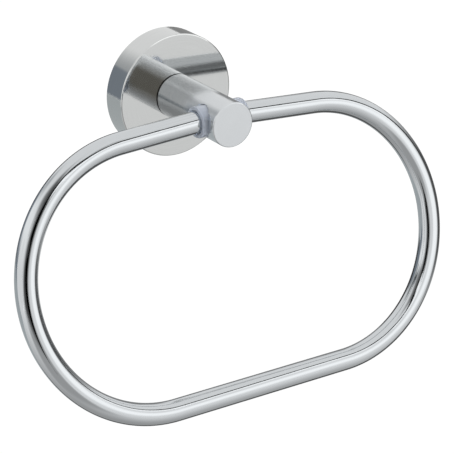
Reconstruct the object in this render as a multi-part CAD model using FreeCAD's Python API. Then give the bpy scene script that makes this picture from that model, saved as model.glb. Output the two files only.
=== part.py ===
# Wall-mounted towel ring: flange, post and a bent rod ring that swings in two plastic bushes.
# Millimetres. Origin: centre of the flange's back, on the wall. +Z up, -Y out from the wall, X along the hinge.
import FreeCAD
import Part
import math
import os

# Flange and what it slips over
flange_diameter = 54.0
flange_depth = 12.4
flange_wall = 2.0
flange_face = 2.0
flange_edge = 0.5

plate_fit = 0.3
plate_front_gap = 2.0
plate_rim = 7.0
rim_flare = 6.2
wall_screw_spacing = 26.0
wall_screw_hole = 5.0

# Set screw under the flange
grub_from_wall = 3.4
grub_diameter = 4.0
grub_length = 4.0
grub_key = 2.0
grub_key_depth = 1.8
grub_point_flat = 0.4
grub_seat_gap = 0.05
thread_fit = 0.05

# Post and the screw that holds it
post_reach = 56.5
post_diameter = 19.2
post_end_edge = 0.4
post_base_gap = 0.5
post_base_relief = 0.6
post_screw_diameter = 6.0
post_hole_spare = 3.0
post_web = 8.0
post_screw_head = 10.0
post_screw_head_height = 5.0
post_screw_key = 5.0
post_screw_key_depth = 2.8
post_screw_edge = 0.5
screw_head_gap = 1.6
washer_diameter = 13.0
washer_thickness = 1.2
screw_hole_fit = 0.2
drill_half_angle = 59.0

# Ring: where it swings and its shape
hinge_from_post_end = 10.7
swing_out = 18.1
rod_diameter = 9.4
ring_half_width = 98.7
top_bend_radius = 54.8
bottom_bend_radius = 56.6
top_fall_angle = 3.2
end_bend_radius = 30.0
end_straight_past_bush = 0.6
rod_end_edge = 0.5

# Bushes
bush_wall = 1.9
bush_stand_out = 1.8
bush_end_wall = 1.5
bush_middle_gap = 0.4
bush_bore_fit = 0.06
bush_seat_fit = 0.1
bush_edge = 0.35
bush_round = 0.7
bush_mouth = 0.45
rod_end_gap = 0.2
cross_bore_edge = 0.35

# Sizes that follow
flange_radius = flange_diameter / 2
flange_inner_radius = flange_radius - flange_wall
flange_inside_y = flange_face - flange_depth
washer_back_y = flange_inside_y + washer_thickness
screw_head_back_y = washer_back_y + post_screw_head_height
plate_floor_y = screw_head_back_y + screw_head_gap
plate_front_y = flange_inside_y + plate_front_gap
plate_radius = flange_inner_radius - plate_fit
plate_back_radius = plate_radius - rim_flare
plate_inner_radius = plate_radius - plate_rim
grub_radius = grub_diameter / 2
grub_tip_radius = plate_back_radius + grub_from_wall + grub_point_flat + grub_seat_gap
grub_end_radius = grub_tip_radius + grub_length
post_radius = post_diameter / 2
post_screw_radius = post_screw_diameter / 2
screw_hole_radius = post_screw_radius + screw_hole_fit
rod_radius = rod_diameter / 2
bush_bore_radius = rod_radius + bush_bore_fit
bush_radius = bush_bore_radius + bush_wall
cross_bore_radius = bush_radius + bush_seat_fit
hinge_y = hinge_from_post_end - post_reach
tap_radius = post_screw_radius + thread_fit
tap_cone_depth = tap_radius / math.tan(math.radians(drill_half_angle))
tap_tip_y = hinge_y + cross_bore_radius + post_web
tap_end_y = tap_tip_y + tap_cone_depth
screw_tip_y = tap_end_y + post_hole_spare
bush_outer_x = post_radius + bush_stand_out
bush_inner_x = bush_middle_gap / 2
bush_floor_x = bush_inner_x + bush_end_wall
rod_end_x = bush_floor_x + rod_end_gap
end_bend_x = bush_outer_x + end_straight_past_bush
fall = math.radians(top_fall_angle)

origin = FreeCAD.Vector(0, 0, 0)
out_of_wall = FreeCAD.Vector(0, -1, 0)
along_hinge = FreeCAD.Vector(1, 0, 0)
edge_search = 0.1
soften_angle = 45.0


# A solid turned about the Y axis from (radius, y) corners, with its seam at the top
def turned(corners):
    points = [FreeCAD.Vector(0, y, radius) for radius, y in corners]
    outline = Part.makePolygon(points + points[:1])
    return Part.Face(outline).revolve(origin, FreeCAD.Vector(0, 1, 0), 360)


# A solid turned about the Z axis from (radius, z) corners
def turned_upright(corners):
    points = [FreeCAD.Vector(radius, 0, z) for radius, z in corners]
    outline = Part.makePolygon(points + points[:1])
    return Part.Face(outline).revolve(origin, FreeCAD.Vector(0, 0, 1), 360)


# A solid turned about the hinge line from (radius, x) corners
def turned_on_hinge(corners):
    points = [FreeCAD.Vector(x, hinge_y, radius) for radius, x in corners]
    outline = Part.makePolygon(points + points[:1])
    return Part.Face(outline).revolve(FreeCAD.Vector(0, hinge_y, 0), along_hinge, 360)


# Corners that round an edge off in two flat steps, from its end face to its side; back is 1 or -1 along the axis
def softened(radius, end, size, back):
    step = size * (1 - math.cos(math.radians(soften_angle)))
    return [(radius - size, end), (radius - step, end + back * step), (radius, end + back * size)]


# A hexagonal key pocket, across flats wide, from start along direction
def key_pocket(across_flats, start, direction, depth):
    corner_radius = across_flats / math.sqrt(3)
    corners = []
    for step in range(6):
        angle = math.radians(60 * step)
        corners.append(FreeCAD.Vector(corner_radius * math.cos(angle), corner_radius * math.sin(angle), 0))
    outline = Part.Face(Part.makePolygon(corners + corners[:1]))
    pocket = outline.extrude(FreeCAD.Vector(0, 0, depth))
    turn = FreeCAD.Rotation(FreeCAD.Vector(0, 0, 1), direction)
    pocket.Placement = FreeCAD.Placement(start, turn)
    return pocket


# Drawn cap: flat face, plain side, open at the wall, with a middle hole and the set screw's hole below
def make_wall_flange():
    cap = turned([
        (screw_hole_radius, -flange_depth),
        *softened(flange_radius, -flange_depth, flange_edge, 1),
        (flange_radius, 0),
        (flange_inner_radius, 0),
        (flange_inner_radius, flange_inside_y),
        (screw_hole_radius, flange_inside_y),
    ])
    grub_hole = Part.makeCylinder(
        grub_radius + thread_fit,
        flange_radius,
        FreeCAD.Vector(0, -grub_from_wall, 0),
        FreeCAD.Vector(0, 0, -1),
    )
    return cap.cut(grub_hole)


# Round dished plate; its rim flares away from the wall, so that the set screw's point draws the flange back
def make_wall_plate():
    plate = turned([
        (0, 0),
        (plate_back_radius, 0),
        (plate_radius, -rim_flare),
        (plate_radius, plate_front_y),
        (plate_inner_radius, plate_front_y),
        (plate_inner_radius, plate_floor_y),
        (0, plate_floor_y),
    ])
    for side in (-1, 1):
        hole_start = FreeCAD.Vector(0, 0, side * wall_screw_spacing / 2)
        hole = Part.makeCylinder(wall_screw_hole / 2, flange_depth, hole_start, out_of_wall)
        plate = plate.cut(hole)
    return plate


# Cone-point socket set screw, upright in the flange's underside
def make_grub_screw():
    cone_top = grub_tip_radius + grub_radius - grub_point_flat
    screw = turned_upright([
        (0, -grub_tip_radius),
        (grub_point_flat, -grub_tip_radius),
        (grub_radius, -cone_top),
        (grub_radius, -grub_end_radius),
        (0, -grub_end_radius),
    ])
    socket = key_pocket(grub_key, FreeCAD.Vector(0, 0, -grub_end_radius), FreeCAD.Vector(0, 0, 1), grub_key_depth)
    screw = screw.cut(socket)
    screw.translate(FreeCAD.Vector(0, -grub_from_wall, 0))
    return screw


# Turned bar with a tapped blind hole at its back and one bore across it for the bushes
def make_post():
    post = turned([
        (0, tap_tip_y),
        (0, -post_reach),
        *softened(post_radius, -post_reach, post_end_edge, 1),
        (post_radius, -flange_depth - post_base_gap),
        (post_radius - post_base_relief, -flange_depth - post_base_gap),
        (post_radius - post_base_relief, -flange_depth),
        (tap_radius, -flange_depth),
        (tap_radius, tap_end_y),
    ])
    cross_bore = Part.makeCylinder(
        cross_bore_radius,
        2 * post_diameter,
        FreeCAD.Vector(-post_diameter, hinge_y, 0),
        along_hinge,
    )
    post = post.cut(cross_bore)
    mouths = []
    for edge in post.Edges:
        centre = edge.BoundBox.Center
        if abs(centre.y - hinge_y) < edge_search and abs(centre.z) < edge_search:
            mouths.append(edge)
    return post.makeChamfer(cross_bore_edge, mouths)


# Socket-head screw that draws the post against the flange's face
def make_post_screw():
    head_radius = post_screw_head / 2
    screw = turned([
        (0, screw_tip_y),
        (post_screw_radius, screw_tip_y),
        (post_screw_radius, washer_back_y),
        (head_radius, washer_back_y),
        (head_radius, screw_head_back_y - post_screw_edge),
        (head_radius - post_screw_edge, screw_head_back_y),
        (0, screw_head_back_y),
    ])
    socket = key_pocket(post_screw_key, FreeCAD.Vector(0, screw_head_back_y, 0), out_of_wall, post_screw_key_depth)
    return screw.cut(socket)


def make_post_washer():
    return turned([
        (screw_hole_radius, flange_inside_y),
        (washer_diameter / 2, flange_inside_y),
        (washer_diameter / 2, washer_back_y),
        (screw_hole_radius, washer_back_y),
    ])


# Closed-ended plastic sleeve on one rod end; side is -1 on the left and 1 on the right
def make_bush(side):
    corners = [
        (0, bush_inner_x),
        (bush_radius - bush_edge, bush_inner_x),
        (bush_radius, bush_inner_x + bush_edge),
        *reversed(softened(bush_radius, bush_outer_x, bush_round, -1)),
        (bush_bore_radius + bush_mouth, bush_outer_x),
        (bush_bore_radius, bush_outer_x - bush_mouth),
        (bush_bore_radius, bush_floor_x),
        (0, bush_floor_x),
    ]
    return turned_on_hinge([(radius, side * x) for radius, x in corners])


# An arc edge in the ring's own plane, turning clockwise from angle start to angle end
def arc(centre_x, centre_z, radius, start, end):
    middle = (start + end) / 2
    points = []
    for angle in (start, middle, end):
        points.append(FreeCAD.Vector(centre_x + radius * math.cos(angle), 0, centre_z + radius * math.sin(angle)))
    return Part.Arc(points[0], points[1], points[2]).toShape()


# Centre line of the ring's right half, hanging straight down from the hinge line at z = 0
def right_half_path():
    quarter = math.pi / 2
    end_turn_x = end_bend_x + end_bend_radius * math.sin(fall)
    end_turn_z = end_bend_radius * (math.cos(fall) - 1)
    top_centre_x = ring_half_width - top_bend_radius
    shoulder_x = top_centre_x + top_bend_radius * math.sin(fall)
    shoulder_z = end_turn_z - (shoulder_x - end_turn_x) * math.tan(fall)
    side_z = shoulder_z - top_bend_radius * math.cos(fall)
    bottom_centre_x = ring_half_width - bottom_bend_radius
    bottom_z = side_z - bottom_bend_radius
    end_line = Part.makeLine(FreeCAD.Vector(rod_end_x, 0, 0), FreeCAD.Vector(end_bend_x, 0, 0))
    end_bend = arc(end_bend_x, -end_bend_radius, end_bend_radius, quarter, quarter - fall)
    top_line = Part.makeLine(FreeCAD.Vector(end_turn_x, 0, end_turn_z), FreeCAD.Vector(shoulder_x, 0, shoulder_z))
    top_bend = arc(top_centre_x, side_z, top_bend_radius, quarter - fall, 0)
    bottom_bend = arc(bottom_centre_x, side_z, bottom_bend_radius, 0, -quarter)
    bottom_line = Part.makeLine(FreeCAD.Vector(bottom_centre_x, 0, bottom_z), FreeCAD.Vector(0, 0, bottom_z))
    return [end_line, end_bend, top_line, top_bend, bottom_bend, bottom_line]


# One rod from the right bush round to the left bush, then swung out from the wall about the hinge line
def make_ring():
    right_path = Part.Wire(right_half_path())
    section = Part.Wire([Part.makeCircle(rod_radius, FreeCAD.Vector(rod_end_x, 0, 0), along_hinge)])
    right_half = right_path.makePipe(Part.Face(section))
    end_edges = []
    for edge in right_half.Edges:
        box = edge.BoundBox
        if box.XMax < rod_end_x + rod_end_gap and box.ZLength > rod_radius and box.ZMin > -rod_diameter:
            end_edges.append(edge)
    right_half = right_half.makeChamfer(rod_end_edge, end_edges)
    left_half = right_half.mirror(origin, along_hinge)
    ring = right_half.fuse(left_half).removeSplitter()
    ring.rotate(origin, along_hinge, -swing_out)
    ring.translate(FreeCAD.Vector(0, hinge_y, 0))
    return ring


pieces = {
    "wall_flange": make_wall_flange(),
    "wall_plate": make_wall_plate(),
    "grub_screw": make_grub_screw(),
    "post": make_post(),
    "post_screw": make_post_screw(),
    "post_washer": make_post_washer(),
    "left_bush": make_bush(-1),
    "right_bush": make_bush(1),
    "ring": make_ring(),
}

os.makedirs("parts", exist_ok=True)
for name, shape in pieces.items():
    solid = shape.Solids[0]
    solid.exportStep("parts/" + name + ".step")
    print(name, "volume", round(solid.Volume, 1), "valid", solid.isValid(), "solids", len(shape.Solids))
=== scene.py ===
import math

import bpy
import numpy as np
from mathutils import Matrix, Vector


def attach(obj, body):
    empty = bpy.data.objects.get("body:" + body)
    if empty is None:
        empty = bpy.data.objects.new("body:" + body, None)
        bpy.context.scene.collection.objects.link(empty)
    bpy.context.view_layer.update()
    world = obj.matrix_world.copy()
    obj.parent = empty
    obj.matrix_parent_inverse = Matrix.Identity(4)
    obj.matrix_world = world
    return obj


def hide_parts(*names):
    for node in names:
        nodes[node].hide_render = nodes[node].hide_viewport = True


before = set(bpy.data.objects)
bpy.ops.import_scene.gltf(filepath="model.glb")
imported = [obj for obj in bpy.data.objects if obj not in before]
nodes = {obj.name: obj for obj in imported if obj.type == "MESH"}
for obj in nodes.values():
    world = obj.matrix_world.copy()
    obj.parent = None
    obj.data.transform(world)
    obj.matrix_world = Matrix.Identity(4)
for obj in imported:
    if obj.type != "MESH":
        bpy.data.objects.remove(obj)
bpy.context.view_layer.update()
print("frame loaded:", len(nodes), "nodes")

# The ring's sizes, the brush lines and the bushes' grain are in millimetres
perMetre = 1000.0


# Small helpers for shader trees
def addNode(tree, kind, **settings):
    node = tree.nodes.new(kind)
    for name, value in settings.items():
        setattr(node, name, value)
    return node


# A new material, its node tree and its standard shader
def newMaterial(name):
    material = bpy.data.materials.new(name)
    material.use_nodes = True
    tree = material.node_tree
    return material, tree, tree.nodes["Principled BSDF"]


# A plain number is set on the socket, and another socket is linked to it
def feed(tree, value, socket):
    if isinstance(value, (int, float)):
        socket.default_value = value
    else:
        tree.links.new(value, socket)


# One Math node; a and b may be sockets or plain numbers
def mathNode(tree, operation, a, b=None):
    node = addNode(tree, "ShaderNodeMath", operation=operation)
    feed(tree, a, node.inputs[0])
    if b is not None:
        feed(tree, b, node.inputs[1])
    return node.outputs[0]


# A vector times a plain number or a socket
def scaleVector(tree, vector, factor):
    node = addNode(tree, "ShaderNodeVectorMath", operation="SCALE")
    tree.links.new(vector, node.inputs[0])
    feed(tree, factor, node.inputs["Scale"])
    return node.outputs[0]


# The X, Y and Z parts of a vector
def splitVector(tree, vector):
    node = addNode(tree, "ShaderNodeSeparateXYZ")
    tree.links.new(vector, node.inputs[0])
    return node.outputs["X"], node.outputs["Y"], node.outputs["Z"]


# Map Range from low..high to toLow..toHigh, smooth or straight
def mapRange(tree, value, low, high, toLow=0.0, toHigh=1.0, smooth=True):
    kind = "SMOOTHSTEP" if smooth else "LINEAR"
    node = addNode(tree, "ShaderNodeMapRange", interpolation_type=kind)
    tree.links.new(value, node.inputs["Value"])
    node.inputs["From Min"].default_value = low
    node.inputs["From Max"].default_value = high
    node.inputs["To Min"].default_value = toLow
    node.inputs["To Max"].default_value = toHigh
    return node.outputs["Result"]


# 1 inside the half width, 0 outside it, and smoothstep over the soft width between
def fadeMask(tree, value, half, soft):
    return mapRange(tree, value, half + soft / 2, half - soft / 2)


# Noise from 0 to 1 over a vector
def addNoise(tree, vector, scale, detail=2.0, roughness=0.5):
    node = addNode(tree, "ShaderNodeTexNoise")
    node.inputs["Scale"].default_value = scale
    node.inputs["Detail"].default_value = detail
    node.inputs["Roughness"].default_value = roughness
    tree.links.new(vector, node.inputs["Vector"])
    return node.outputs[0]


# Most of a noise's values lie in this span
noiseSpan = (0.3, 0.7)


# The middle value, moved by up to about reach either way as the noise rises and falls
def noiseRange(tree, noise, middle, reach):
    return mapRange(tree, noise, *noiseSpan, middle - reach, middle + reach, smooth=False)


# The colour darker by the change where the noise is 0, and lighter by it where it is 1
def shadeColour(tree, noise, colour, change):
    node = addNode(tree, "ShaderNodeMix", data_type="RGBA")
    tree.links.new(noise, node.inputs[0])
    node.inputs[6].default_value = tuple((1 - change) * part for part in colour) + (1,)
    node.inputs[7].default_value = tuple((1 + change) * part for part in colour) + (1,)
    return node.outputs[2]


# The surface tilted as if the noise were a height of that many metres
def addBump(tree, noise, height, shader):
    node = addNode(tree, "ShaderNodeBump")
    node.inputs["Distance"].default_value = height
    tree.links.new(noise, node.inputs["Height"])
    tree.links.new(node.outputs[0], shader.inputs["Normal"])


# The first shader where the mask is 0 and the second where it is 1
def mixSurface(tree, mask, first, second):
    node = addNode(tree, "ShaderNodeMixShader")
    tree.links.new(mask, node.inputs[0])
    tree.links.new(first.outputs[0], node.inputs[1])
    tree.links.new(second.outputs[0], node.inputs[2])
    tree.links.new(node.outputs[0], tree.nodes["Material Output"].inputs["Surface"])


# An object at the origin, unturned, for a mesh or a camera
def linkObject(name, mesh):
    piece = bpy.data.objects.new(name, mesh)
    bpy.context.scene.collection.objects.link(piece)
    return piece


# Unit direction from degrees: azimuth 0 is straight out of the wall and 90 to the right
def direction(azimuth, elevation):
    azimuth, elevation = np.radians(azimuth), np.radians(elevation)
    level = np.cos(elevation)
    return np.stack([np.sin(azimuth) * level, -np.cos(azimuth) * level, np.sin(elevation)], axis=-1)


# Camera where the photograph was taken, found by fitting the part's edges to it
cameraView = {
    "azimuth": -32.094,      # degrees, seen from the target
    "elevation": 23.005,
    "distance": 0.7647,
    "target": (0.0, -0.030, -0.055),
    "lens": 141.0,
    "shiftX": 0.06316,
    "shiftY": 0.00255,
}


# The camera stands at its distance from the target in that direction, and looks back at it
def makeCamera(view):
    back = Vector(direction(view["azimuth"], view["elevation"]))
    data = bpy.data.cameras.new("photoCamera")
    data.lens = view["lens"]
    data.shift_x = view["shiftX"]
    data.shift_y = view["shiftY"]
    camera = linkObject("photoCamera", data)
    camera.location = Vector(view["target"]) + back * view["distance"]
    camera.rotation_euler = (-back).to_track_quat("-Z", "Y").to_euler()
    bpy.context.scene.camera = camera


makeCamera(cameraView)
bpy.context.scene.view_settings.view_transform = "Standard"
print("camera placed")


# Studio: a white background and soft cards round the object. A card is at an azimuth, elevation
# and distance from the middle; its half width and half height and its soft edge are fractions
# of the distance, roll turns it by degrees, and bright 1 is white. They stand from the farthest
# to the nearest, and a nearer card hides a farther one. A station of the frame line is an
# azimuth, an elevation and a half width. The values were first fitted to the photograph's
# reflections by a least-squares program, then rounded and in part changed
studio = {
    "middle": (0.0, -0.05, -0.04),
    "cards": {
        "overArc": dict(at=(-50, 60, 3.33), half=(1.15, 0.19), soft=0.31, roll=19, bright=0.28),
        "rightGrey": dict(at=(137, -7, 2.86), half=(0.12, 1.66), soft=0.22, roll=7, bright=0.18),
        "rightSide": dict(at=(93, 35, 2.41), half=(0.77, 0.36), soft=0.11, roll=1, bright=1.02),
        "backDark": dict(at=(178, -9, 1.67), half=(0.55, 0.42), soft=0.26, roll=-7, bright=0.06),
        "overHigh": dict(at=(33, 62, 1.25), half=(0.50, 0.22), soft=0.25, roll=0, bright=1.00),
        "rightDark": dict(at=(88, -6, 1.17), half=(0.50, 0.35), soft=0.40, roll=-12, bright=0.11),
        "lowRight": dict(at=(156, -56, 1.15), half=(1.73, 0.36), soft=0.16, roll=10, bright=0.12),
        "skirt": dict(at=(-34, -24, 0.95), half=(0.57, 0.43), soft=0.40, roll=18, bright=0.47),
        "backBelow": dict(at=(199, -32, 0.80), half=(1.19, 0.34), soft=0.14, roll=15, bright=0.54),
        "rightBox": dict(at=(34, 8, 0.66), half=(0.40, 0.22), soft=0.36, roll=-3, bright=1.45),
        "backRightDark": dict(at=(136, -3, 0.65), half=(0.34, 0.40), soft=0.06, roll=-21, bright=0.30),
        "backLeftMid": dict(at=(-139, 23, 0.61), half=(0.32, 0.43), soft=0.40, roll=-12, bright=0.45),
        "boxLeft": dict(at=(-15, 26, 0.56), half=(0.03, 0.45), soft=0.03, roll=-12, bright=0.97),
        "backLeftDark": dict(at=(-146, 6, 0.56), half=(0.46, 0.25), soft=0.06, roll=0, bright=0.27),
        "boxEdge": dict(at=(-21, 25, 0.48), half=(2.00, 0.03), soft=0.09, roll=22, bright=1.30),
        "boxTop": dict(at=(-45, 27, 0.45), half=(0.59, 0.15), soft=0.20, roll=56, bright=1.55),
        "core": dict(at=(-39, 25, 0.37), half=(0.36, 0.69), soft=0.40, roll=-18, bright=0.09),
        "leftBox": dict(at=(-109, 28, 0.31), half=(0.56, 0.26), soft=0.40, roll=15, bright=1.19),
    },
    "frameLine": {
        "distance": 0.37,
        "soft": 0.06,
        "bright": 0.0,
        "steps": 8,              # between one station and the next
        "stations": [
            (-33, -22, -0.03),
            (-34, -12, 0.05),
            (-35, 1, 0.13),
            (-39, 13, 0.14),
            (-36, 31, 0.15),
            (-26, 47, 0.08),
            (-12, 53, 0.07),
            (14, 42, 0.06),
            (25, 44, 0.07),
            (36, 42, 0.07),
            (52, 38, 0.06),
            (69, 23, 0.06),
            (77, 11, 0.07),
            (81, 2, -0.03),
        ],
    },
    "frameLip": {
        "distance": 0.3737,
        "soft": 0.16,
        "bright": 1.60,
        "half": 0.060,
        "stations": (5, 12),     # the first of the line's stations that it follows, and one past the last
    },
    "postShade": {
        "radius": 0.0108,
        "from": -0.0135,         # both ends, out from the wall
        "to": -0.0380,
        "middle": 62.0,          # from up towards the left, in degrees, as half and soft are
        "half": 40.0,
        "soft": 44.0,
        "bright": 0.20,
        "steps": 24,
    },
    "tints": {
        "backLeftDark": (0.89, 1.0, 1.14),
        "backLeftMid": (0.96, 1.0, 1.03),
        "backBelow": (0.94, 1.0, 1.02),
        "postShade": (1.08, 1.0, 0.86),
    },
    # Brightness that the second and later reflections see, which have a depth over laterDepth
    "laterBright": {"frameLine": 0.76, "core": 0.68, "frameLip": 1.0},
    "laterDepth": 1.5,
}


# White for the camera, for clear plastic and for metal, which sees the cards in front of it
def makeWorld():
    world = bpy.data.worlds.new("studio")
    world.use_nodes = True
    bpy.context.scene.world = world
    background = world.node_tree.nodes["Background"]
    background.inputs["Color"].default_value = (1, 1, 1, 1)
    background.inputs["Strength"].default_value = 1.0


# A mesh of quads, with a place on the "fraction" map for each point
def sheetMesh(name, points, quads, fraction):
    mesh = bpy.data.meshes.new(name)
    mesh.from_pydata(points.tolist(), [], quads.tolist())
    layer = mesh.uv_layers.new(name="fraction")
    layer.data.foreach_set("uv", fraction[quads.reshape(-1)].reshape(-1))
    mesh.update()
    return mesh


# A card glows where its mask is 1 and is clear where it is 0. Neither the camera nor clear
# plastic sees it, and with laterOnly the first reflection doesn't see it either
def hangSheet(name, mesh, bright, makeMask, laterOnly=False):
    material, tree, standard = newMaterial(name)
    tree.nodes.remove(standard)
    fraction = addNode(tree, "ShaderNodeUVMap", uv_map="fraction").outputs[0]
    across, over = splitVector(tree, fraction)[:2]
    mask = makeMask(tree, mathNode(tree, "ABSOLUTE", across), mathNode(tree, "ABSOLUTE", over))
    depth = addNode(tree, "ShaderNodeLightPath").outputs["Glossy Depth"]
    later = mathNode(tree, "GREATER_THAN", depth, studio["laterDepth"])
    if laterOnly:
        mask = mathNode(tree, "MULTIPLY", mask, later)
    glow = addNode(tree, "ShaderNodeEmission")
    glow.inputs["Color"].default_value = studio["tints"].get(name, (1, 1, 1)) + (1,)
    glow.inputs["Strength"].default_value = bright
    if name in studio["laterBright"]:
        change = mathNode(tree, "MULTIPLY", later, studio["laterBright"][name] - bright)
        tree.links.new(mathNode(tree, "ADD", change, bright), glow.inputs["Strength"])
    mixSurface(tree, mask, addNode(tree, "ShaderNodeBsdfTransparent"), glow)
    mesh.materials.append(material)
    sheet = linkObject(name, mesh)
    sheet.visible_camera = False
    sheet.visible_transmission = False


# A flat card square to the line from the middle, turned by its roll. Its map is measured from
# its centre in fractions of the distance, and both masks multiplied soften its four edges
def makeCard(name, card, middle):
    azimuth, elevation, distance = card["at"]
    halfWidth, halfHeight = card["half"]
    soft = card["soft"]
    away = direction(azimuth, elevation)
    aside = direction(azimuth + 90, 0)
    upward = np.cross(away, aside)
    reach = np.array([halfWidth, halfHeight]) + soft / 2
    corners = np.array([[-1, -1], [1, -1], [1, 1], [-1, 1]]) * reach
    roll = math.radians(card["roll"])
    turned = corners @ np.array([[math.cos(roll), math.sin(roll)], [-math.sin(roll), math.cos(roll)]])
    points = np.array(middle) + distance * (away + turned[:, :1] * aside + turned[:, 1:] * upward)
    mesh = sheetMesh(name, points, np.array([[0, 1, 2, 3]]), corners)

    def edgeMask(tree, across, over):
        widthMask = fadeMask(tree, across, halfWidth, soft)
        heightMask = fadeMask(tree, over, halfHeight, soft)
        return mathNode(tree, "MULTIPLY", widthMask, heightMask)

    hangSheet(name, mesh, card["bright"], edgeMask)


# Rows on a smooth curve through the stations: between two of them a cubic, whose slope at a
# station is half the step from the station before it to the one after it
def curveThrough(stations, steps):
    ends = [2 * stations[0] - stations[1], 2 * stations[-1] - stations[-2]]
    padded = np.vstack([ends[0], stations, ends[1]])
    before, first, second, after = (padded[k:len(stations) - 1 + k, None] for k in range(4))
    part = np.linspace(0, 1, steps, endpoint=False)[None, :, None]
    bend = (second - before) * part + (2 * before - 5 * first + 4 * second - after) * part ** 2
    rows = 0.5 * (2 * first + bend + (3 * first - before - 3 * second + after) * part ** 3)
    return np.concatenate([rows.reshape(-1, stations.shape[1]), stations[-1:]])


# Directions along the stations, the directions square to them on the inner side, and half widths
def followStations(stations, steps):
    azimuth, elevation, half = curveThrough(np.array(stations, dtype=float), steps).T
    away = direction(azimuth, elevation)
    inward = np.cross(np.gradient(away, axis=0), away)
    return away, inward / np.linalg.norm(inward, axis=1, keepdims=True), half


# A strip along directions, reaching its half width and half the soft width to each side. Its
# map is the place across it and the half width there, and the mask fades one less the other
def makeStrip(name, strip, away, inward, half, middle):
    soft = strip["soft"]
    reach = half + soft / 2
    edges = np.stack([away - reach[:, None] * inward, away + reach[:, None] * inward], axis=1)
    points = np.array(middle) + strip["distance"] * edges.reshape(-1, 3)
    fraction = np.stack([np.stack([-reach, reach], axis=1), np.stack([half, half], axis=1)], axis=-1)
    row = 2 * np.arange(len(half) - 1)
    quads = np.stack([row, row + 1, row + 3, row + 2], axis=-1)
    mesh = sheetMesh(name, points, quads, fraction.reshape(-1, 2))

    def edgeMask(tree, across, halfHere):
        return fadeMask(tree, mathNode(tree, "SUBTRACT", across, halfHere), 0.0, soft)

    hangSheet(name, mesh, strip["bright"], edgeMask)


# The dark line round the front light, and a bright lip beside its inner edge: the lip's
# directions are the line's, moved inwards by both half widths
def makeFrame(line, lip, middle):
    away, inward, half = followStations(line["stations"], line["steps"])
    makeStrip("frameLine", line, away, inward, half, middle)
    away, inward, half = followStations(line["stations"][slice(*lip["stations"])], line["steps"])
    away = away + (half + lip["half"])[:, None] * inward
    makeStrip("frameLip", lip, away, inward, np.full_like(half, lip["half"]), middle)


# Shade close round the post's upper left side, for the flange's image of the post: part of a
# cylinder about the post's axis, whose mask fades with the angle from its middle
def makePostShade(name, shade):
    half, soft = shade["half"], shade["soft"]
    offset = np.linspace(-half - soft / 2, half + soft / 2, shade["steps"] + 1)
    angle = np.radians(shade["middle"] + offset)
    arc = shade["radius"] * np.stack([-np.sin(angle), np.zeros_like(angle), np.cos(angle)], axis=-1)
    points = np.concatenate([arc + [0, shade["from"], 0], arc + [0, shade["to"], 0]])
    fraction = np.stack([np.tile(offset, 2), np.zeros(2 * len(offset))], axis=-1)
    row = np.arange(shade["steps"])
    quads = np.stack([row, row + 1, row + 1 + len(arc), row + len(arc)], axis=-1)
    mesh = sheetMesh(name, points, quads, fraction)

    def edgeMask(tree, across, over):
        return fadeMask(tree, across, half, soft)

    hangSheet(name, mesh, shade["bright"], edgeMask, laterOnly=True)


makeWorld()
for cardName, card in studio["cards"].items():
    makeCard(cardName, card, studio["middle"])
makeFrame(studio["frameLine"], studio["frameLip"], studio["middle"])
makePostShade("postShade", studio["postShade"])
print("studio:", len(studio["cards"]), "cards")


# Ring: one bent rod whose two ends turn in the bushes; millimetres and degrees
ringShape = {
    "rodRadius": 4.70,
    "endEdge": 0.5,          # small chamfer on each rod end
    "endX": 1.9,             # where the right-hand rod end stops
    "bendX": 12.0,           # where it leaves the straight through the bush
    "endBend": 30.0,
    "fall": 3.2,             # how far the top bars drop outwards
    "halfWidth": 98.7,
    "topBend": 54.8,
    "bottomBend": 56.6,
    "hingeY": -45.8,
    "swingOut": 18.1,
    "around": 96,            # mesh steps round the rod
    "perRadian": 58,         # mesh steps along a bend, for each radian that it turns
    "stepLength": 8.0,       # and one more for each such length of any run
    "fewestSteps": 3,
}


# Straight lines and arcs as (length, turn) pairs from the rod end to the middle of the bottom
def halfRuns(shape):
    fall = math.radians(shape["fall"])
    bendEndX = shape["bendX"] + shape["endBend"] * math.sin(fall)
    topCentreX = shape["halfWidth"] - shape["topBend"]
    topLine = (topCentreX + shape["topBend"] * math.sin(fall) - bendEndX) / math.cos(fall)
    quarter = math.pi / 2
    return [
        (shape["bendX"] - shape["endX"], 0.0),
        (shape["endBend"] * fall, -fall),
        (topLine, 0.0),
        (shape["topBend"] * (quarter - fall), fall - quarter),
        (shape["bottomBend"] * quarter, -quarter),
        (shape["halfWidth"] - shape["bottomBend"], 0.0),
    ]


# Centre line as columns of x, z, heading and length: on each run the heading turns evenly, and
# a point lies one chord from the run's start, along the mean of the two headings
def centreLine(shape):
    half = halfRuns(shape)
    x, z, heading, length = shape["endX"], 0.0, 0.0, 0.0
    columns = []
    for run, turn in half + half[::-1]:
        steps = round(abs(turn) * shape["perRadian"]) + round(run / shape["stepLength"])
        part = np.linspace(0, 1, max(shape["fewestSteps"], steps), endpoint=False)
        turned = turn * part
        chord = run * part * np.sinc(turned / (2 * np.pi))
        middle = heading + turned / 2
        pointX = x + chord * np.cos(middle)
        pointZ = z + chord * np.sin(middle)
        columns.append(np.stack([pointX, pointZ, heading + turned, length + run * part]))
        whole = run * np.sinc(turn / (2 * np.pi))
        x += whole * math.cos(heading + turn / 2)
        z += whole * math.sin(heading + turn / 2)
        heading += turn
        length += run
    columns.append(np.array([[x], [z], [heading], [length]]))
    return np.concatenate(columns, axis=1)


# Quads between neighbouring rows of points, where each row is a closed loop of so many steps
def loopQuads(count, steps):
    row = np.arange(count - 1)[:, None] * steps
    here = np.arange(steps)[None, :]
    after = (here + 1) % steps
    corners = [row + here, row + steps + here, row + steps + after, row + after]
    return np.stack(corners, axis=-1).reshape(-1, 4)


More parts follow.
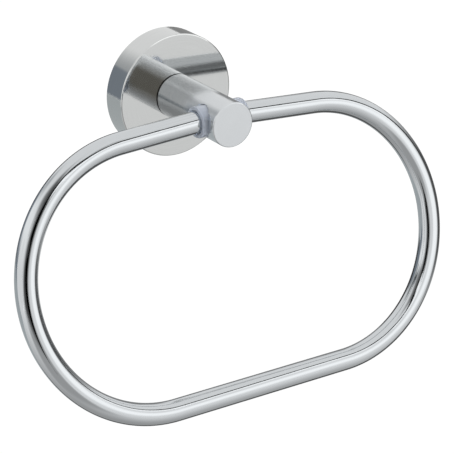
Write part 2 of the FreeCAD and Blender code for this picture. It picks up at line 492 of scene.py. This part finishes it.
# A closed skin over rows of points, each row a loop and each end row drawn in to one point. Its
# map is in metres: u is the length along the rod, and v the way round it
def skinMesh(name, rows, poles, along, around):
    count, steps = rows.shape[:2]
    points = np.concatenate([rows.reshape(-1, 3), poles])
    quads = loopQuads(count, steps)
    here = np.arange(steps)
    after = (here + 1) % steps
    lastRow = (count - 1) * steps
    firstPole = count * steps
    startCap = np.stack([here, after, np.full(steps, firstPole)], axis=-1)
    endCap = np.stack([lastRow + after, lastRow + here, np.full(steps, firstPole + 1)], axis=-1)
    mesh = bpy.data.meshes.new(name)
    mesh.from_pydata(points.tolist(), [], quads.tolist() + startCap.tolist() + endCap.tolist())
    mesh.polygons.foreach_set("use_smooth", np.ones(len(mesh.polygons), dtype=bool))
    corners = len(quads) * 4
    uv = np.zeros((len(mesh.loops), 2), dtype=np.float32)
    uRow = np.stack([along[:-1], along[1:], along[1:], along[:-1]], axis=-1)
    uv[:corners, 0] = np.repeat(uRow[:, None, :], steps, axis=1).reshape(-1)
    vRow = np.stack([here, here, here + 1, here + 1], axis=-1) * (around / steps)
    uv[:corners, 1] = np.tile(vRow[None], (count - 1, 1, 1)).reshape(-1)
    uv[corners:corners + steps * 3, 0] = along[0]
    uv[corners + steps * 3:, 0] = along[-1]
    mesh.uv_layers.new(name="rodLength").data.foreach_set("uv", uv.reshape(-1))
    mesh.update()
    return linkObject(name, mesh)


# The rod: a circle of rodRadius square to the centre line, smaller over the chamfer at each
# end, its seam towards the wall, and the whole turned out about the hinge line
def makeRing(shape):
    x, z, heading, length = centreLine(shape)
    edge = shape["endEdge"]
    stations = np.sort(np.append(length, [edge, length[-1] - edge]))
    x, z, heading = (np.interp(stations, length, values) for values in (x, z, heading))
    fromEnd = np.minimum(stations, stations[-1] - stations)
    radius = shape["rodRadius"] - edge + np.clip(fromEnd, 0, edge)
    angle = np.linspace(-np.pi / 2, 3 * np.pi / 2, shape["around"], endpoint=False)
    outward = radius[:, None] * np.cos(angle)
    forward = radius[:, None] * np.sin(angle)
    across = x[:, None] - outward * np.sin(heading)[:, None]
    height = z[:, None] + outward * np.cos(heading)[:, None]
    swing = math.radians(shape["swingOut"])
    depth = shape["hingeY"] + height * math.sin(swing) - forward * math.cos(swing)
    upright = height * math.cos(swing) + forward * math.sin(swing)
    rows = np.stack([across, depth, upright], axis=-1) / perMetre
    poles = rows[[0, -1]].mean(axis=1)
    around = 2 * np.pi * shape["rodRadius"] / perMetre
    return skinMesh("towelRing", rows, poles, stations / perMetre, around)


towelRing = makeRing(ringShape)
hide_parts("ring")
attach(towelRing, "ring")
print("ring:", len(towelRing.data.polygons), "faces")

# Steel finishes: streak is the width of the brush lines in millimetres, slope how far they tilt
# the surface, smudge how much the gloss drifts from place to place, and endPaintedLight how much
# lighter, as painted light, the face is that lies endFace millimetres out from the wall
steelFinishes = {
    "satinRod": {
        "colour": (0.588, 0.610, 0.626), "rough": 0.08, "smudge": 0.03,
        "lines": "rod", "streak": 0.55, "slope": 0.014,
    },
    "satinFlange": {
        "colour": (0.598, 0.608, 0.604), "rough": 0.07, "smudge": 0.03,
        "lines": "turned", "streak": 0.60, "slope": 0.006,
    },
    "satinPost": {
        "colour": (0.610, 0.630, 0.645), "rough": 0.18, "smudge": 0.04,
        "lines": "turned", "streak": 0.60, "slope": 0.012,
        "endPaintedLight": 1.10, "endFace": 56.5, "endSoft": 0.2,
    },
    "plainPlate": {
        "colour": (0.50, 0.50, 0.50), "rough": 0.34, "smudge": 0.08,
        "lines": "turned", "streak": 0.50, "slope": 0.080,
    },
    "screwSteel": {
        "colour": (0.42, 0.42, 0.43), "rough": 0.26, "smudge": 0.06,
        "lines": "turned", "streak": 0.30, "slope": 0.050,
    },
    "setScrew": {
        "colour": (0.30, 0.30, 0.31), "rough": 0.30, "smudge": 0.06,
        "lines": "upright", "streak": 0.25, "slope": 0.050,
    },
}

# What all brushed steel shares: stretch is how fast the noise changes along the lines, glossShare
# how much of the roughness the lines shift, and shade how much they shift the colour
brushNoise = {
    "stretch": 0.05,
    "detail": 3.0,
    "roughness": 0.6,
    "smudgeScale": 0.09,     # for each millimetre
    "smudgeDetail": 4.0,
    "glossShare": 0.25,
    "shade": 0.05,
}


# Place in millimetres, and the same place drawn out along the brush lines, which run along the
# rod, in rings round a turned piece (by radius plus depth) and in rings up an upright screw
def brushCoordinates(tree, finish):
    if finish["lines"] == "rod":
        source = addNode(tree, "ShaderNodeUVMap", uv_map="rodLength").outputs[0]
    else:
        source = addNode(tree, "ShaderNodeTexCoord").outputs["Object"]
    place = scaleVector(tree, source, perMetre)
    x, y, z = splitVector(tree, place)
    if finish["lines"] == "rod":
        slow, across = [x], y
    elif finish["lines"] == "upright":
        slow, across = [x, y], z
    else:
        squareX = mathNode(tree, "MULTIPLY", x, x)
        squareZ = mathNode(tree, "MULTIPLY", z, z)
        radius = mathNode(tree, "SQRT", mathNode(tree, "ADD", squareX, squareZ))
        slow, across = [x, z], mathNode(tree, "ADD", radius, y)
    stretched = addNode(tree, "ShaderNodeCombineXYZ")
    for slot, part in enumerate(slow):
        along = mathNode(tree, "MULTIPLY", part, brushNoise["stretch"] / finish["streak"])
        tree.links.new(along, stretched.inputs[slot])
    tree.links.new(mathNode(tree, "DIVIDE", across, finish["streak"]), stretched.inputs["Z"])
    return place, stretched.outputs[0]


# Drawn-out noise makes the brush lines, which tilt the surface and shift its gloss and colour,
# and wide noise smudges the gloss
def makeSteel(name, finish):
    material, tree, shader = newMaterial(name)
    shader.inputs["Metallic"].default_value = 1.0
    place, stretched = brushCoordinates(tree, finish)
    streaks = addNoise(tree, stretched, 1.0, brushNoise["detail"], brushNoise["roughness"])
    smudges = addNoise(tree, place, brushNoise["smudgeScale"], brushNoise["smudgeDetail"])
    lined = noiseRange(tree, streaks, 0.0, brushNoise["glossShare"] * finish["rough"])
    drift = noiseRange(tree, smudges, finish["rough"], finish["smudge"] / 2)
    tree.links.new(mathNode(tree, "ADD", lined, drift), shader.inputs["Roughness"])
    colour = shadeColour(tree, streaks, finish["colour"], brushNoise["shade"])
    # Painted light: the end face's colour is made lighter, for the light that falls on it
    if "endPaintedLight" in finish:
        depth = splitVector(tree, place)[1]
        softFrom = finish["endSoft"] - finish["endFace"]
        paintedLight = mapRange(tree, depth, softFrom, -finish["endFace"], 1.0, finish["endPaintedLight"])
        colour = scaleVector(tree, colour, paintedLight)
    tree.links.new(colour, shader.inputs["Base Color"])
    addBump(tree, streaks, finish["slope"] * finish["streak"] / perMetre, shader)
    return material


steels = {name: makeSteel(name, finish) for name, finish in steelFinishes.items()}
print("steel finishes:", len(steels))

# Bushes: pale blue moulded plastic, a little clear, with a faint moulding grain
bushPlastic = {
    "colour": (0.81, 0.87, 0.98),
    "shade": 0.05,           # how much the colour drifts
    "cloudScale": 180.0,     # of that drift, for each metre
    "rough": 0.12,
    "roughDrift": 0.05,
    "clear": 0.46,
    "index": 1.49,
    "grain": 0.35,           # millimetres across
    "grainDepth": 0.004,
}


# Fine noise shifts the gloss and tilts the surface, and wide noise shifts the colour
def makePlastic(finish):
    material, tree, shader = newMaterial("bushPlastic")
    shader.inputs["Transmission Weight"].default_value = finish["clear"]
    shader.inputs["IOR"].default_value = finish["index"]
    place = addNode(tree, "ShaderNodeTexCoord").outputs["Object"]
    grain = addNoise(tree, place, perMetre / finish["grain"])
    cloud = addNoise(tree, place, finish["cloudScale"])
    rough = noiseRange(tree, grain, finish["rough"], finish["roughDrift"])
    tree.links.new(rough, shader.inputs["Roughness"])
    colour = shadeColour(tree, cloud, finish["colour"], finish["shade"])
    tree.links.new(colour, shader.inputs["Base Color"])
    addBump(tree, grain, finish["grainDepth"] / perMetre, shader)
    return material


plastic = makePlastic(bushPlastic)
towelRing.data.materials.append(steels["satinRod"])
nodeFinish = {
    "wall_flange": steels["satinFlange"],
    "post": steels["satinPost"],
    "wall_plate": steels["plainPlate"],
    "post_screw": steels["screwSteel"],
    "post_washer": steels["screwSteel"],
    "grub_screw": steels["setScrew"],
    "left_bush": plastic,
    "right_bush": plastic,
}
for name, finish in nodeFinish.items():
    for place in nodes[name].material_slots:
        place.material = finish
print("finishes on", len(nodeFinish), "solids")

# Floor a good way below, wide enough to fill the view
floorPlane = {
    "below": 1.25,
    "radii": (0.2, 0.5, 1.0, 2.0, 4.0, 12.0),
    "around": 96,
}


# A flat disc: circles of the given radii at one height, with a fan in the smallest
def makeFloor(shape):
    steps = shape["around"]
    radii = np.array(shape["radii"])
    angle = np.linspace(0, 2 * np.pi, steps, endpoint=False)
    rim = np.stack([np.cos(angle), np.sin(angle), np.zeros_like(angle)], axis=-1)
    rows = radii[:, None, None] * rim
    rows[..., 2] = -shape["below"]
    points = np.concatenate([rows.reshape(-1, 3), [[0, 0, -shape["below"]]]])
    here = np.arange(steps)
    fan = np.stack([np.full(steps, len(points) - 1), here, (here + 1) % steps], axis=-1)
    mesh = bpy.data.meshes.new("floor")
    mesh.from_pydata(points.tolist(), [], loopQuads(len(radii), steps).tolist() + fan.tolist())
    mesh.update()
    floor = linkObject("floor", mesh)
    return floor


# The floor's tone for the camera, and for reflections
floorTone = {
    "white": 1.04,           # a little over 1, so that it stays white beside the plain share
    "plainShare": 0.06,
    "diffuse": 0.80,
    # depth and spread shape the painted shade that reflections see towards the middle
    "depth": 0.61,
    "spread": 1.7,
}


# White to the camera but for a plain share that takes shadows. Reflections see painted shade on it,
# darker towards the middle by depth / (1 + (distance / spread) squared), as if the object kept the light
# off
def makeFloorFinish(tone):
    material, tree, plain = newMaterial("paleFloor")
    plain.inputs["Base Color"].default_value = (tone["diffuse"], tone["diffuse"], tone["diffuse"], 1)
    plain.inputs["Roughness"].default_value = 1.0
    plain.inputs["Specular IOR Level"].default_value = 0.0
    place = addNode(tree, "ShaderNodeTexCoord").outputs["Object"]
    flat = addNode(tree, "ShaderNodeVectorMath", operation="MULTIPLY")
    tree.links.new(place, flat.inputs[0])
    flat.inputs[1].default_value = (1, 1, 0)
    length = addNode(tree, "ShaderNodeVectorMath", operation="LENGTH")
    tree.links.new(flat.outputs[0], length.inputs[0])
    ratio = mathNode(tree, "DIVIDE", length.outputs["Value"], tone["spread"])
    bottom = mathNode(tree, "ADD", mathNode(tree, "MULTIPLY", ratio, ratio), 1.0)
    paintedShade = mathNode(tree, "DIVIDE", tone["depth"], bottom)
    paths = addNode(tree, "ShaderNodeLightPath")
    paintedShadeSeen = mathNode(tree, "MULTIPLY", paintedShade, paths.outputs["Is Glossy Ray"])
    glow = addNode(tree, "ShaderNodeEmission")
    glow.inputs["Color"].default_value = (1, 1, 1, 1)
    glowShare = 1 - tone["plainShare"]
    full = (tone["white"] - tone["plainShare"] * tone["diffuse"]) / glowShare
    tree.links.new(mathNode(tree, "SUBTRACT", full, paintedShadeSeen), glow.inputs["Strength"])
    direct = mathNode(tree, "MAXIMUM", paths.outputs["Is Camera Ray"], paths.outputs["Is Transmission Ray"])
    direct = mathNode(tree, "MULTIPLY", direct, glowShare)
    seen = mathNode(tree, "MAXIMUM", direct, paths.outputs["Is Glossy Ray"])
    mixSurface(tree, seen, plain, glow)
    return material


floor = makeFloor(floorPlane)
floor.data.materials.append(makeFloorFinish(floorTone))
print("floor laid")
